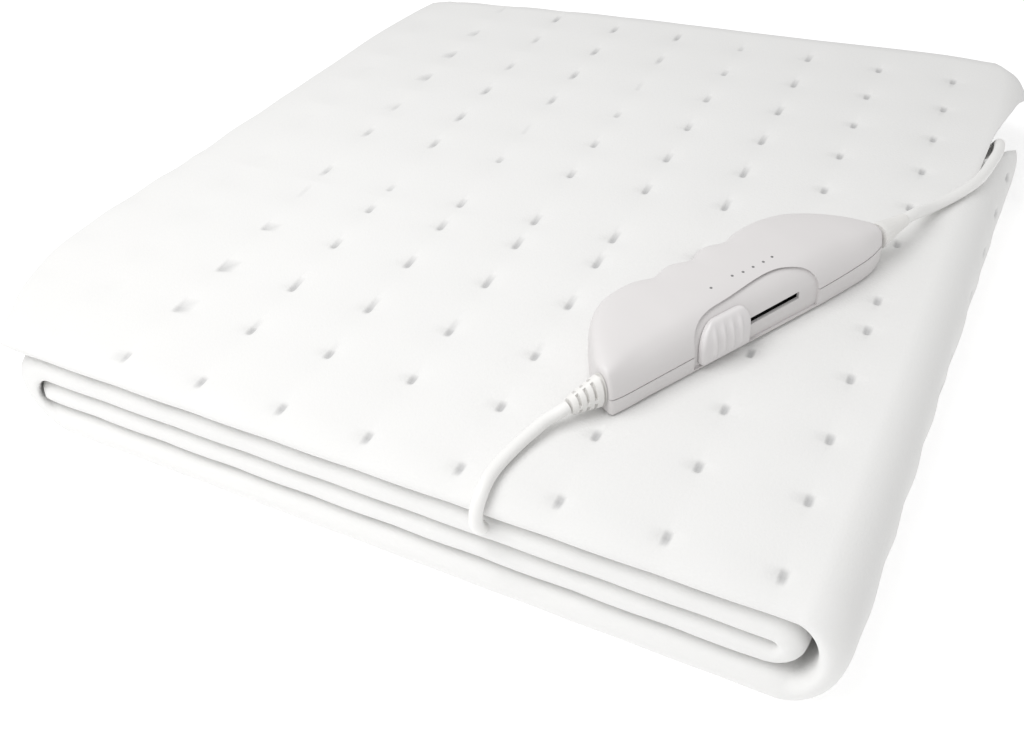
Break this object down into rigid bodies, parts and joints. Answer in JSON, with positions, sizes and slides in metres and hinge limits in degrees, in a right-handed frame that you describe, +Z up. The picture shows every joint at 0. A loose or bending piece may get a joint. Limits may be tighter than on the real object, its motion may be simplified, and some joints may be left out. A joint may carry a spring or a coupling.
{
  "type": "folded electric underblanket",
  "caption": "Quilted electric underblanket, folded flat into a square pack, with a hand control on top, a short lead into the cloth and a coiled mains lead behind.",
  "frame": {"origin": "on the surface that the blanket lies on, under the middle of the folded cloth and its control", "axes": "+Z up through the layers, -Y to the front folds, +X to the spine of the roll"},
  "size_m": [0.4112, 0.4767, 0.0763],
  "materials": {
    "cloth": "soft matt white non-woven quilted cloth",
    "housing": "fine satin moulded plastic, pale warm grey",
    "slider": "satin moulded plastic, pale warm grey",
    "switch_black": "black moulded plastic",
    "relief": "soft flexible plastic, off-white",
    "lead": "smooth flexible plastic jacket, off-white",
    "tie": "thin flexible plastic strip, white",
    "plug": "moulded plastic, off-white",
    "pin": "plated metal"
  },
  "bodies": {
    "blanket": {"blanket": "cloth", "controller_upper": "housing", "controller_lower": "housing", "switch_block": "switch_black", "relief_blanket_side": "relief", "relief_mains_side": "relief", "blanket_lead": "lead", "mains_lead": "lead", "mains_coil": "lead", "mains_tail": "lead", "coil_tie": "tie", "plug_relief": "plug", "plug_body": "plug", "plug_pin_left": "pin", "plug_pin_right": "pin"},
    "slider": {"thumb_slider": "slider"}
  },
  "joints": [
    {"name": "heat_slide", "type": "slide", "parent": "blanket", "child": "slider", "axis": [0.5128, 0.8583, 0.02], "range_m": [0, 0.03]}
  ]
}
